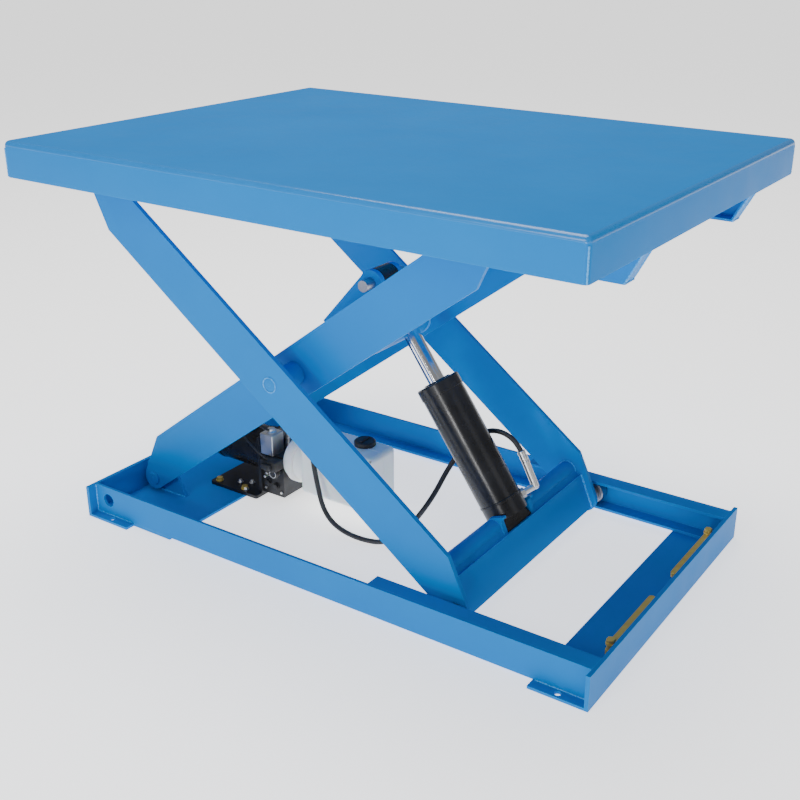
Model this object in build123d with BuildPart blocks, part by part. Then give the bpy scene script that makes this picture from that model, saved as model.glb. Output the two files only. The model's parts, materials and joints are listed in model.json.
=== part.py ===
"""Hydraulic scissor lift table, raised, in millimetres.

+X is the long way of the deck, +Z is up, and the origin is on the floor under the deck's centre.
Nearly everything is the same on both sides of the XZ plane, so the side plates and legs are made
for "near" (-Y) and "far" (+Y). The sizes below drive all the others.
"""
from build123d import *
from math import asin, atan2, cos, degrees, hypot, pi, radians, sin, tan
import os

# Deck
DECK_LENGTH = 1219.2
DECK_WIDTH = 914.4
DECK_TOP = 844.5
DECK_PLATE = 5
SKIRT_DEPTH = 69
SKIRT_PLATE = 5
DECK_UNDERSIDE = DECK_TOP - DECK_PLATE
SKIRT_BOTTOM = DECK_TOP - SKIRT_DEPTH

# Base frame
BASE_LENGTH = 1230
BASE_HALF_WIDTH = 359
RAIL_HEIGHT = 72
END_PLATE = 8
FLOOR_PLATE = 6
RAIL_PLATE = 6
RAIL_WEB = 331
RAIL_LIP = 299
GUIDE_START = 135
FOOT_START = 497
LEFT_FLOOR_END = -388
RAIL_END = BASE_LENGTH / 2 - END_PLATE
ANCHOR_X = 552
ANCHOR_Y = 348
ANCHOR_RADIUS = 6.5
DRAIN_X = -571
DRAIN_Z = 41
DRAIN_RADIUS = 15

# Legs: both pairs share one outline, mirrored
PIVOT_SPAN = 1126
PIVOT_OFFSET = 23.8
LEG_WIDTH = 102.8
LEG_PLATE = 10
CHAMFER_START = 480
HINGE_X = -572.9
HINGE_Z = 39.5
UPPER_Z = 752.6
OUTER_LEG = 265
INNER_LEG = 188
HALF_SPAN = PIVOT_SPAN / 2
PIVOT_ALONG = (HALF_SPAN**2 - PIVOT_OFFSET**2) ** 0.5
LEG_END = LEG_WIDTH / 2 - PIVOT_OFFSET
LINE_ANGLE = degrees(asin((UPPER_Z - HINGE_Z) / PIVOT_SPAN))
SLOPE = LINE_ANGLE - degrees(asin(PIVOT_OFFSET / HALF_SPAN))
CENTRE_X = HINGE_X + HALF_SPAN * cos(radians(LINE_ANGLE))
CENTRE_Z = (HINGE_Z + UPPER_Z) / 2
ROLLER_X = 2 * CENTRE_X - HINGE_X
SLOPES = {1: SLOPE, -1: -SLOPE}

# Pins and rollers
PIN_RADIUS = 12
HEAD_RADIUS = 16
HEAD = 3
SPACER_RADIUS = 24
CENTRE_PIN_RADIUS = 15
RUNNING = 0.05
SIDE_PLAY = 0.4
ROLLER_RADIUS = 26.2
ROLLER_WIDTH = 24
LOWER_ROLLER = 303
UPPER_ROLLER = 226
TRACK_WEB = 252
TRACK_LIP = 222
TRACK_PLATE = 5
TRACK_START = 240
TRACK_FLOOR = UPPER_Z - ROLLER_RADIUS - 0.8
TRACK_ROOF = UPPER_Z + ROLLER_RADIUS + 0.6

# Hydraulic cylinder: pins are placed on the legs, as distances along and across the bar
LOWER_PIN = (504.7, -5.5)
UPPER_PIN = (155.3, 83.4)
CYLINDER_PIN_RADIUS = 10
BARREL_RADIUS = 45
BORE_RADIUS = 37.5
ROD_RADIUS = 17.5
BARREL_START = 22
BASE_CAP = 34
BARREL_END = 330
GLAND_LENGTH = 26
PISTON_START = 270
PISTON_LENGTH = 30
EYE_HALF = 25
EYE_RADIUS = 27
EYE_BORE = 12
BASE_EAR = 50
ROD_EAR = 27
EAR_PLATE = 12

# Power unit, on an axis along X
UNIT_Y = -25
UNIT_Z = 102
MOTOR_START = -500
MOTOR_END = -358
MOTOR_RADIUS = 50
BLOCK_END = -290
TANK_START = -242
TANK_END = -45

# Maintenance bars
BAR_BOLT_X = 587
BAR_BOTTOM = 34
BAR_THICKNESS = 10
BAR_WIDTH = 14
BAR_REACH = 185

# Hose
HOSE_DIAMETER = 11

SIDES = {"near": -1, "far": 1}


def save(builder, label):
    """Names a finished piece and writes its file."""
    builder.part.label = label
    export_step(builder.part, f"parts/{label}.step")


def side_plane(y):
    """A plane across Y: its local axes are +X and +Z, and it extrudes towards -Y."""
    return Plane.XZ.offset(-y)


def outer_face(side, inner, thickness):
    """The Y where a plate's extrusion starts, for a plate that lies from inner outwards."""
    return inner + thickness if side > 0 else -inner


def leg_plane(hand, y):
    """The plane of a leg, from the centre pivot along the bar: hand 1 rises to the right."""
    angle = radians(SLOPES[hand])
    return Plane(origin=(CENTRE_X, y, CENTRE_Z), x_dir=(cos(angle), 0, sin(angle)), z_dir=(0, -1, 0))


def on_leg(hand, along, across):
    """The X and Z of a point given along and across a leg's bar."""
    angle = radians(SLOPES[hand])
    x = CENTRE_X + along * cos(angle) - across * sin(angle)
    z = CENTRE_Z + along * sin(angle) + across * cos(angle)
    return x, z


def cross_rods(radius, places):
    """A builder with one round bar along Y for each (x, z, y_low, y_high)."""
    with BuildPart() as rods:
        for x, z, y_low, y_high in places:
            with BuildSketch(side_plane(y_high)):
                with Locations((x, z)):
                    Circle(radius)
            extrude(amount=y_high - y_low)
    return rods


def paired(inner, outer):
    """The two Y ranges of something that stands from inner to outer on both sides."""
    return [(-outer, -inner), (inner, outer)]


def stepped_pins(x, z, steps):
    """A builder with a stepped pin on each side, from the (radius, inner, outer) of its lengths."""
    with BuildPart() as pins:
        for side in SIDES.values():
            for radius, inner, outer in steps:
                with BuildSketch(side_plane(outer_face(side, inner, outer - inner))):
                    with Locations((x, z)):
                        Circle(radius)
                extrude(amount=outer - inner)
    return pins


# ---------------------------------------------------------------- base frame


def make_floor_plates():
    """Ground plates under the rails' ends, with a foot on each side for the anchors."""
    for name, start, end, foot_start, foot_end in (
        ("floor_plate_left", -RAIL_END, LEFT_FLOOR_END, -RAIL_END, -FOOT_START),
        ("floor_plate_right", FOOT_START, RAIL_END, FOOT_START, RAIL_END),
    ):
        rail_outside = RAIL_WEB + RAIL_PLATE
        with BuildPart() as plate:
            with BuildSketch(Plane.XY):
                with Locations(((start + end) / 2, 0)):
                    Rectangle(end - start, 2 * rail_outside)
                with Locations(((foot_start + foot_end) / 2, 0)):
                    Rectangle(foot_end - foot_start, 2 * BASE_HALF_WIDTH)
                anchor_x = ANCHOR_X if end > 0 else -ANCHOR_X
                with Locations((anchor_x, -ANCHOR_Y), (anchor_x, ANCHOR_Y)):
                    Circle(ANCHOR_RADIUS, mode=Mode.SUBTRACT)
            extrude(amount=FLOOR_PLATE)
        save(plate, name)


def make_end_plates():
    """Upright plates that close the two ends of the base."""
    for name, start in (("base_end_left", -BASE_LENGTH / 2), ("base_end_right", RAIL_END)):
        with BuildPart() as plate:
            with BuildSketch(Plane.XY):
                with Locations((start + END_PLATE / 2, 0)):
                    Rectangle(END_PLATE, 2 * BASE_HALF_WIDTH)
            extrude(amount=RAIL_HEIGHT)
        save(plate, name)


def make_rails():
    """Angle rails with the roller track as their bottom flange."""
    for name, side in SIDES.items():
        with BuildPart() as rail:
            web = outer_face(side, RAIL_WEB, RAIL_PLATE)
            with BuildSketch(side_plane(web)):
                with Locations((0, (RAIL_HEIGHT + FLOOR_PLATE) / 2)):
                    Rectangle(2 * RAIL_END, RAIL_HEIGHT - FLOOR_PLATE)
                with Locations((DRAIN_X, DRAIN_Z)):
                    Circle(DRAIN_RADIUS, mode=Mode.SUBTRACT)
            extrude(amount=RAIL_PLATE)
            with BuildSketch(Plane.XY.offset(FLOOR_PLATE)):
                with Locations((0, side * (RAIL_LIP + RAIL_WEB) / 2)):
                    Rectangle(2 * RAIL_END, RAIL_WEB - RAIL_LIP)
            extrude(amount=RAIL_PLATE)
        save(rail, f"base_rail_{name}")


def make_roller_guides():
    """Flat bars welded inside the rails' tops, over the lower rollers."""
    with BuildPart() as guides:
        with BuildSketch(Plane.XY.offset(RAIL_HEIGHT)):
            for side in SIDES.values():
                with Locations(((GUIDE_START + RAIL_END) / 2, side * (RAIL_LIP + RAIL_WEB) / 2)):
                    Rectangle(RAIL_END - GUIDE_START, RAIL_WEB - RAIL_LIP)
        extrude(amount=-RAIL_PLATE)
    save(guides, "roller_guides")


def make_base_brackets():
    """One gusset inside each inner leg, and the headed pin that the leg turns on."""
    gusset = 8
    gap = 5
    gusset_top = 67
    gusset_inner = INNER_LEG - gap - gusset
    sloped_edge = [(-490, FLOOR_PLATE), (-518, 60), (-534, gusset_top)]
    pin_overhang = 3
    with BuildPart() as brackets:
        for side in SIDES.values():
            with BuildSketch(side_plane(outer_face(side, gusset_inner, gusset))):
                with BuildLine():
                    Polyline(
                        (-RAIL_END, FLOOR_PLATE),
                        *sloped_edge,
                        (-RAIL_END, gusset_top),
                        close=True,
                    )
                make_face()
                with Locations((HINGE_X, HINGE_Z)):
                    Circle(PIN_RADIUS, mode=Mode.SUBTRACT)
            extrude(amount=gusset)
    save(brackets, "base_brackets")
    leg_face = INNER_LEG + LEG_PLATE + SIDE_PLAY
    steps = [
        (PIN_RADIUS, gusset_inner - pin_overhang, leg_face),
        (HEAD_RADIUS, leg_face, leg_face + HEAD),
    ]
    save(stepped_pins(HINGE_X, HINGE_Z, steps), "base_pins")


# ---------------------------------------------------------------- legs


def make_legs():
    """Four flat legs with rounded, tapered ends; only the bores differ."""
    centre = (PIVOT_ALONG, PIVOT_OFFSET)
    corner = (CHAMFER_START, -LEG_WIDTH / 2)
    to_corner = (corner[0] - centre[0], corner[1] - centre[1])
    reach = hypot(*to_corner)
    tangent_angle = atan2(to_corner[1], to_corner[0]) + atan2((reach**2 - LEG_END**2) ** 0.5, LEG_END)
    top = (PIVOT_ALONG, LEG_WIDTH / 2)
    touch = (centre[0] + LEG_END * cos(tangent_angle), centre[1] + LEG_END * sin(tangent_angle))
    middle_angle = (radians(90) + atan2(touch[1] - centre[1], touch[0] - centre[0])) / 2
    middle = (centre[0] + LEG_END * cos(middle_angle), centre[1] + LEG_END * sin(middle_angle))
    for pair, hand, inner, centre_bore in (
        ("p", -1, OUTER_LEG, CENTRE_PIN_RADIUS),
        ("q", 1, INNER_LEG, CENTRE_PIN_RADIUS + RUNNING),
    ):
        bores = {1: PIN_RADIUS, -1: PIN_RADIUS + RUNNING}
        for name, side in SIDES.items():
            with BuildPart() as leg:
                with BuildSketch(leg_plane(hand, outer_face(side, inner, LEG_PLATE))):
                    with BuildLine():
                        for turn in (1, -1):
                            ends = [(turn * x, turn * hand * y) for x, y in (top, middle, touch, corner)]
                            ThreePointArc(*ends[:3])
                            Line(ends[2], ends[3])
                            Line(ends[3], (-turn * top[0], -turn * hand * top[1]))
                    make_face()
                    Circle(centre_bore, mode=Mode.SUBTRACT)
                    for turn, bore in bores.items():
                        with Locations((turn * centre[0], turn * hand * centre[1])):
                            Circle(bore, mode=Mode.SUBTRACT)
                extrude(amount=LEG_PLATE)
            save(leg, f"{pair}_leg_{name}")


def make_leg_pins():
    """Centre pins with their spacers, and the axles that carry the rollers."""
    spacer_start = INNER_LEG + LEG_PLATE + SIDE_PLAY
    steps = [
        (CENTRE_PIN_RADIUS, INNER_LEG, OUTER_LEG + LEG_PLATE),
        (SPACER_RADIUS, spacer_start, OUTER_LEG),
    ]
    save(stepped_pins(CENTRE_X, CENTRE_Z, steps), "centre_pins")
    collar_radius = 17
    collar_gap = 1
    axle_overhang = 1.5
    for label, z, leg, roller in (
        ("p_axles", HINGE_Z, OUTER_LEG, LOWER_ROLLER),
        ("q_axles", UPPER_Z, INNER_LEG, UPPER_ROLLER),
    ):
        axle_end = roller + ROLLER_WIDTH + axle_overhang
        steps = [(PIN_RADIUS, leg, axle_end), (collar_radius, leg + LEG_PLATE, roller - collar_gap)]
        save(stepped_pins(ROLLER_X, z, steps), label)


def make_rollers():
    """Four steel rollers, each turning on its own axle."""
    edge = 2
    for level, z, inner in (("lower", HINGE_Z, LOWER_ROLLER), ("upper", UPPER_Z, UPPER_ROLLER)):
        for name, side in SIDES.items():
            with BuildPart() as roller:
                with BuildSketch(side_plane(outer_face(side, inner, ROLLER_WIDTH))):
                    with Locations((ROLLER_X, z)):
                        Circle(ROLLER_RADIUS)
                        Circle(PIN_RADIUS + RUNNING, mode=Mode.SUBTRACT)
                extrude(amount=ROLLER_WIDTH)
                rims = roller.edges().filter_by(GeomType.CIRCLE)
                chamfer(rims.filter_by(lambda rim: rim.radius > HEAD_RADIUS), edge)
            save(roller, f"{level}_roller_{name}")


def make_inner_leg_weldment():
    """The tube between the inner legs and the two ears that take the rod's pin."""
    tube_place = (38, -5)
    tube_radius = 35
    tube_wall = 5
    x, z = on_leg(1, *tube_place)
    with BuildPart() as tube:
        with BuildSketch(side_plane(INNER_LEG)):
            with Locations((x, z)):
                Circle(tube_radius)
                Circle(tube_radius - tube_wall, mode=Mode.SUBTRACT)
        extrude(amount=2 * INNER_LEG)
    save(tube, "q_cross_tube")

    ear_radius = 27
    ear_outline = [(-7, 76), (146, 108), (182, 78), (71, -14), (5, -12)]
    with BuildPart() as ears:
        for side in SIDES.values():
            with BuildSketch(leg_plane(1, outer_face(side, ROD_EAR, EAR_PLATE))):
                with BuildLine():
                    Polyline(*ear_outline, close=True)
                make_face()
                with Locations(UPPER_PIN):
                    Circle(ear_radius)
                with Locations(tube_place):
                    Circle(tube_radius, mode=Mode.SUBTRACT)
                with Locations(UPPER_PIN):
                    Circle(PIN_RADIUS, mode=Mode.SUBTRACT)
            extrude(amount=EAR_PLATE)
    save(ears, "q_ears")

    eye_gap = 0.6
    pin_end = 67
    x, z = on_leg(1, *UPPER_PIN)
    stubs = [(x, z, *span) for span in paired(EYE_HALF + eye_gap, pin_end)]
    save(cross_rods(PIN_RADIUS, stubs), "rod_pin")


def make_outer_leg_weldment():
    """The plate between the outer legs, with the tube, its web and the barrel pin's ears behind."""
    front_top = Vector(517, 15)
    front_low = Vector(586, -24.7)
    plate_thickness = 6
    down_plate = (front_low - front_top).normalized()
    through_plate = Vector(down_plate.Y, -down_plate.X) * plate_thickness
    back_top = front_top + through_plate
    back_low = front_low + through_plate
    with BuildPart() as plate:
        with BuildSketch(leg_plane(-1, OUTER_LEG)):
            with BuildLine():
                Polyline(front_top, front_low, back_low, back_top, close=True)
            make_face()
        extrude(amount=2 * OUTER_LEG)
    save(plate, "p_cross_plate")

    tube_place = Vector(488, -2)
    tube_radius = 20
    tube_wall = 5
    pin_clearance = 1
    pin_room = 40
    ear_outer = BASE_EAR + EAR_PLATE
    ear_outline = [back_top, back_top + down_plate * 40.4, (520, -32), (478, -32), (468, 8), (486, 36)]
    web_outline = [
        tube_place + Vector(6, 16),
        back_top,
        back_top + down_plate * 5,
        tube_place + Vector(12, 10),
    ]
    past_the_back = [
        back_top - down_plate * 30,
        back_low,
        front_low + Vector(60, 60),
        front_top + Vector(-10, 90),
    ]
    with BuildPart() as cradle:
        for side in SIDES.values():
            with BuildSketch(leg_plane(-1, outer_face(side, BASE_EAR, EAR_PLATE))):
                with BuildLine():
                    Polyline(*ear_outline, close=True)
                make_face()
                with Locations(LOWER_PIN):
                    Circle(CYLINDER_PIN_RADIUS, mode=Mode.SUBTRACT)
            extrude(amount=EAR_PLATE)
            with BuildSketch(leg_plane(-1, outer_face(side, ear_outer, OUTER_LEG - ear_outer))):
                with BuildLine():
                    Polyline(*web_outline, close=True)
                make_face()
                with Locations(tube_place):
                    Circle(tube_radius)
                    Circle(tube_radius - tube_wall, mode=Mode.SUBTRACT)
            extrude(amount=OUTER_LEG - ear_outer)
            with BuildSketch(leg_plane(-1, outer_face(side, ear_outer, pin_room))):
                with Locations(LOWER_PIN):
                    Circle(CYLINDER_PIN_RADIUS + pin_clearance)
            extrude(amount=pin_room, mode=Mode.SUBTRACT)
        with BuildSketch(leg_plane(-1, OUTER_LEG)):
            with BuildLine():
                Polyline(*past_the_back, close=True)
            make_face()
        extrude(amount=2 * OUTER_LEG, mode=Mode.SUBTRACT)
    save(cradle, "p_cradle")

    pin_end = 98
    x, z = on_leg(-1, *LOWER_PIN)
    save(cross_rods(CYLINDER_PIN_RADIUS, [(x, z, -pin_end, pin_end)]), "barrel_pin")


# ---------------------------------------------------------------- cylinder

PIN_X, PIN_Z = on_leg(-1, *LOWER_PIN)
EYE_X, EYE_Z = on_leg(1, *UPPER_PIN)
CYLINDER_LENGTH = hypot(EYE_X - PIN_X, EYE_Z - PIN_Z)
STROKE_DIRECTION = ((EYE_X - PIN_X) / CYLINDER_LENGTH, (EYE_Z - PIN_Z) / CYLINDER_LENGTH)


def cylinder_plane(distance):
    """The plane square to the cylinder, at a distance from its lower pin towards its upper one."""
    along_x, along_z = STROKE_DIRECTION
    origin = (PIN_X + along_x * distance, 0, PIN_Z + along_z * distance)
    return Plane(origin=origin, x_dir=(along_z, 0, -along_x), z_dir=(along_x, 0, along_z))


def ring(start, length, outer, bore=0):
    """A round or hollow length of the cylinder, as a builder."""
    with BuildPart() as piece:
        with BuildSketch(cylinder_plane(start)):
            Circle(outer)
            if bore:
                Circle(bore, mode=Mode.SUBTRACT)
        extrude(amount=length)
    return piece


def make_cylinder():
    """Barrel, base cap with its lug, gland, piston, rod and rod eye."""
    tube_start = BARREL_START + BASE_CAP
    save(ring(tube_start, BARREL_END - tube_start, BARREL_RADIUS, BORE_RADIUS), "cylinder_barrel")
    gland_start = BARREL_END - GLAND_LENGTH
    save(ring(gland_start, GLAND_LENGTH, BORE_RADIUS, ROD_RADIUS + RUNNING), "cylinder_gland")
    save(ring(PISTON_START, PISTON_LENGTH, BORE_RADIUS - RUNNING), "piston")
    rod_start = PISTON_START + PISTON_LENGTH
    rod_end = CYLINDER_LENGTH - EYE_RADIUS
    save(ring(rod_start, rod_end - rod_start, ROD_RADIUS), "piston_rod")

    lug_radius = 16.8
    lug_half = BASE_EAR - 2
    neck_size = (31.6, 86)
    with BuildPart() as base_cap:
        with BuildSketch(cylinder_plane(BARREL_START)):
            Circle(BARREL_RADIUS)
        extrude(amount=BASE_CAP)
        with BuildSketch(side_plane(lug_half)):
            with Locations((PIN_X, PIN_Z)):
                Circle(lug_radius)
        extrude(amount=2 * lug_half)
        with BuildSketch(cylinder_plane(0)):
            Rectangle(*neck_size)
        extrude(amount=BARREL_START)
        with BuildSketch(side_plane(lug_half)):
            with Locations((PIN_X, PIN_Z)):
                Circle(CYLINDER_PIN_RADIUS + RUNNING)
        extrude(amount=2 * lug_half, mode=Mode.SUBTRACT)
    save(base_cap, "cylinder_base")

    socket_radius = 20.5
    with BuildPart() as eye:
        with BuildSketch(side_plane(EYE_HALF)):
            with Locations((EYE_X, EYE_Z)):
                Circle(EYE_RADIUS)
        extrude(amount=2 * EYE_HALF)
        with BuildSketch(cylinder_plane(rod_end)):
            Circle(socket_radius)
        extrude(amount=EYE_RADIUS - EYE_BORE)
        with BuildSketch(side_plane(EYE_HALF)):
            with Locations((EYE_X, EYE_Z)):
                Circle(EYE_BORE + RUNNING)
        extrude(amount=2 * EYE_HALF, mode=Mode.SUBTRACT)
    save(eye, "rod_eye")


# ---------------------------------------------------------------- deck


def make_deck():
    """Deck plate and the skirt plates that are welded around its underside."""
    corner_radius = 6
    bend_radius = 3
    with BuildPart() as plate:
        with BuildSketch(Plane.XY.offset(DECK_UNDERSIDE)):
            Rectangle(DECK_LENGTH, DECK_WIDTH)
        extrude(amount=DECK_PLATE)
        fillet(plate.edges().filter_by(Axis.Z), corner_radius)
        fillet(plate.faces().sort_by(Axis.Z)[-1].edges(), bend_radius)
    save(plate, "deck_plate")
    skirt_height = DECK_UNDERSIDE - SKIRT_BOTTOM
    inside_width = DECK_WIDTH - 2 * SKIRT_PLATE
    for name, side in SIDES.items():
        with BuildPart() as skirt:
            with BuildSketch(Plane.XY.offset(SKIRT_BOTTOM)):
                with Locations((0, side * (DECK_WIDTH - SKIRT_PLATE) / 2)):
                    Rectangle(DECK_LENGTH, SKIRT_PLATE)
            extrude(amount=skirt_height)
        save(skirt, f"skirt_{name}")
    for name, side in (("left", -1), ("right", 1)):
        with BuildPart() as skirt:
            with BuildSketch(Plane.XY.offset(SKIRT_BOTTOM)):
                with Locations((side * (DECK_LENGTH - SKIRT_PLATE) / 2, 0)):
                    Rectangle(SKIRT_PLATE, inside_width)
            extrude(amount=skirt_height)
        save(skirt, f"skirt_{name}")


def make_upper_tracks():
    """Channels under the deck for the inner legs' rollers, open towards the middle."""
    inside_skirt = DECK_LENGTH / 2 - SKIRT_PLATE
    floor_bottom = TRACK_FLOOR - TRACK_PLATE
    slope_start = 577
    slope_top = SKIRT_BOTTOM
    lip_width = TRACK_WEB - TRACK_LIP
    lip_end = inside_skirt - 4
    lip_bend = slope_start - 3
    low_end = [(TRACK_START, floor_bottom), (slope_start, floor_bottom), (inside_skirt, slope_top)]
    for name, side in SIDES.items():
        with BuildPart() as track:
            with BuildSketch(side_plane(outer_face(side, TRACK_WEB, TRACK_PLATE))):
                with BuildLine():
                    Polyline(
                        *low_end,
                        (inside_skirt, DECK_UNDERSIDE),
                        (TRACK_START, DECK_UNDERSIDE),
                        close=True,
                    )
                make_face()
            extrude(amount=TRACK_PLATE)
            with BuildSketch(side_plane(outer_face(side, TRACK_LIP, lip_width))):
                with Locations(((TRACK_START + slope_start) / 2, TRACK_FLOOR - TRACK_PLATE / 2)):
                    Rectangle(slope_start - TRACK_START, TRACK_PLATE)
                with Locations(((TRACK_START + inside_skirt) / 2, TRACK_ROOF + TRACK_PLATE / 2)):
                    Rectangle(inside_skirt - TRACK_START, TRACK_PLATE)
                with BuildLine():
                    Polyline(
                        (slope_start, floor_bottom),
                        (inside_skirt, slope_top),
                        (inside_skirt, TRACK_ROOF),
                        (lip_end, TRACK_ROOF),
                        (lip_end, slope_top + 2),
                        (lip_bend, TRACK_FLOOR),
                        (lip_bend, floor_bottom),
                        close=True,
                    )
                make_face()
            extrude(amount=lip_width)
        save(track, f"upper_track_{name}")


def make_deck_brackets():
    """Pairs of plates under the deck that hold the outer legs' upper pivots."""
    plate = 6
    gap = 5
    radius = 24
    pin_overhang = 3
    with BuildPart() as brackets:
        for side in SIDES.values():
            for inner in (OUTER_LEG - gap - plate, OUTER_LEG + LEG_PLATE + gap):
                with BuildSketch(side_plane(outer_face(side, inner, plate))):
                    with Locations((HINGE_X, (UPPER_Z + DECK_UNDERSIDE) / 2)):
                        Rectangle(2 * radius, DECK_UNDERSIDE - UPPER_Z)
                    with Locations((HINGE_X, UPPER_Z)):
                        Circle(radius)
                        Circle(PIN_RADIUS, mode=Mode.SUBTRACT)
                extrude(amount=plate)
    save(brackets, "deck_brackets")
    past_plate = gap + plate + pin_overhang
    reach = paired(OUTER_LEG - past_plate, OUTER_LEG + LEG_PLATE + past_plate)
    save(cross_rods(PIN_RADIUS, [(HINGE_X, UPPER_Z, *span) for span in reach]), "deck_pins")


# ---------------------------------------------------------------- maintenance bars

BAR_PLACES = {"near": (-216, BAR_REACH), "far": (265, -BAR_REACH)}
BAR_STUD_RADIUS = 4


def make_maintenance_bars():
    """Two flat bars that swing on studs to block the lower rollers' way."""
    for name, (bolt_y, reach) in BAR_PLACES.items():
        with BuildPart() as bar:
            with BuildSketch(Plane.XY.offset(BAR_BOTTOM)):
                with Locations((BAR_BOLT_X, bolt_y + reach / 2)):
                    Rectangle(BAR_WIDTH, abs(reach))
                with Locations((BAR_BOLT_X, bolt_y), (BAR_BOLT_X, bolt_y + reach)):
                    Circle(BAR_WIDTH / 2)
                with Locations((BAR_BOLT_X, bolt_y)):
                    Circle(BAR_STUD_RADIUS + RUNNING, mode=Mode.SUBTRACT)
            extrude(amount=BAR_THICKNESS)
        save(bar, f"maintenance_bar_{name}")
    gap = 0.3
    collar_radius = 9
    collar_top = BAR_BOTTOM - gap
    washer_radius = 9.5
    washer_bottom = BAR_BOTTOM + BAR_THICKNESS + gap
    washer_top = washer_bottom + 2
    nut_radius = 8
    nut_height = 8
    with BuildPart() as studs:
        for bolt_y, _ in BAR_PLACES.values():
            for radius, low, high in (
                (collar_radius, FLOOR_PLATE, collar_top),
                (BAR_STUD_RADIUS, collar_top, washer_bottom),
                (washer_radius, washer_bottom, washer_top),
            ):
                with BuildSketch(Plane.XY.offset(low)):
                    with Locations((BAR_BOLT_X, bolt_y)):
                        Circle(radius)
                extrude(amount=high - low)
            with BuildSketch(Plane.XY.offset(washer_top)):
                with Locations((BAR_BOLT_X, bolt_y)):
                    RegularPolygon(nut_radius, 6)
            extrude(amount=nut_height)
    save(studs, "bar_studs")


# ---------------------------------------------------------------- power unit


def unit_plane(x):
    """A plane square to the power unit's axis, with local axes +Y and +Z, extruding towards +X."""
    return Plane(origin=(x, UNIT_Y, UNIT_Z), x_dir=(0, 1, 0), z_dir=(1, 0, 0))


BRACKET_PLATE = 8
BRACKET_TOP = FLOOR_PLATE + BRACKET_PLATE
BLOCK_START = MOTOR_END + BRACKET_PLATE
BLOCK_TOP = 116
BLOCK_FRONT = -72
SHAFT_RADIUS = 8
KNOB_X = -302
KNOB_Z = 81
KNOB_STEM = 5
KNOB_BORE = 22


def make_bracket():
    """Foot plate and upright that carry the motor on one face and the valve block on the other."""
    foot_start = -492
    foot_width = 150
    foot_corner = 6
    upright_width = 110
    upright_top = 152
    shaft_hole = 14
    with BuildPart() as bracket:
        with BuildSketch(Plane.XY.offset(FLOOR_PLATE)):
            with Locations(((foot_start + BLOCK_START) / 2, UNIT_Y)):
                RectangleRounded(BLOCK_START - foot_start, foot_width, foot_corner)
        extrude(amount=BRACKET_PLATE)
        with BuildSketch(unit_plane(MOTOR_END)):
            with Locations((0, (BRACKET_TOP + upright_top) / 2 - UNIT_Z)):
                Rectangle(upright_width, upright_top - BRACKET_TOP)
            Circle(shaft_hole, mode=Mode.SUBTRACT)
        extrude(amount=BRACKET_PLATE)
    save(bracket, "unit_bracket")

    screws_x = -436
    screw_spacing = (78, 122)
    washer_radius = 9
    washer = 2
    head_radius = 7.5
    head = 6
    with BuildPart() as screws:
        with GridLocations(*screw_spacing, 2, 2) as grid:
            places = [(spot.position.X + screws_x, spot.position.Y + UNIT_Y) for spot in grid.locations]
        with BuildSketch(Plane.XY.offset(BRACKET_TOP)):
            with Locations(*places):
                Circle(washer_radius)
        extrude(amount=washer)
        with BuildSketch(Plane.XY.offset(BRACKET_TOP + washer)):
            with Locations(*places):
                RegularPolygon(head_radius, 6)
        extrude(amount=head)
    save(screws, "unit_screws")


def make_motor():
    """Closed motor can with its rotor and shaft inside."""
    wall = 5
    can_chamfer = 4
    with BuildPart() as can:
        with BuildSketch(unit_plane(MOTOR_START)):
            Circle(MOTOR_RADIUS)
        extrude(amount=MOTOR_END - MOTOR_START)
        chamfer(can.edges().sort_by(Axis.X)[0], can_chamfer)
        with BuildSketch(unit_plane(MOTOR_START + wall)):
            Circle(MOTOR_RADIUS - wall)
        extrude(amount=MOTOR_END - MOTOR_START - 2 * wall, mode=Mode.SUBTRACT)
        with BuildSketch(unit_plane(MOTOR_END - wall)):
            Circle(SHAFT_RADIUS + RUNNING)
        extrude(amount=wall, mode=Mode.SUBTRACT)
    save(can, "motor_can")

    rotor_start = MOTOR_START + wall + 6
    rotor_length = 118
    rotor_radius = 36
    shaft_end = BLOCK_END - 12
    with BuildPart() as rotor:
        with BuildSketch(unit_plane(rotor_start)):
            Circle(rotor_radius)
        extrude(amount=rotor_length)
        with BuildSketch(unit_plane(rotor_start)):
            Circle(SHAFT_RADIUS)
        extrude(amount=shaft_end - rotor_start)
    save(rotor, "motor_rotor")


def make_valve_block():
    """The block on the bracket's right face, bored for the motor's shaft and the knob's stem."""
    block_bottom = 15
    end_wall = 8
    shaft_clearance = 1
    with BuildPart() as block:
        with BuildSketch(Plane.XY.offset(block_bottom)):
            with Locations(((BLOCK_START + BLOCK_END) / 2, UNIT_Y)):
                Rectangle(BLOCK_END - BLOCK_START, 2 * (UNIT_Y - BLOCK_FRONT))
        extrude(amount=BLOCK_TOP - block_bottom)
        with BuildSketch(unit_plane(BLOCK_START)):
            Circle(SHAFT_RADIUS + shaft_clearance)
        extrude(amount=BLOCK_END - BLOCK_START - end_wall, mode=Mode.SUBTRACT)
        with BuildSketch(side_plane(BLOCK_FRONT + KNOB_BORE)):
            with Locations((KNOB_X, KNOB_Z)):
                Circle(KNOB_STEM + RUNNING)
        extrude(amount=KNOB_BORE, mode=Mode.SUBTRACT)
    save(block, "valve_block")


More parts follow.
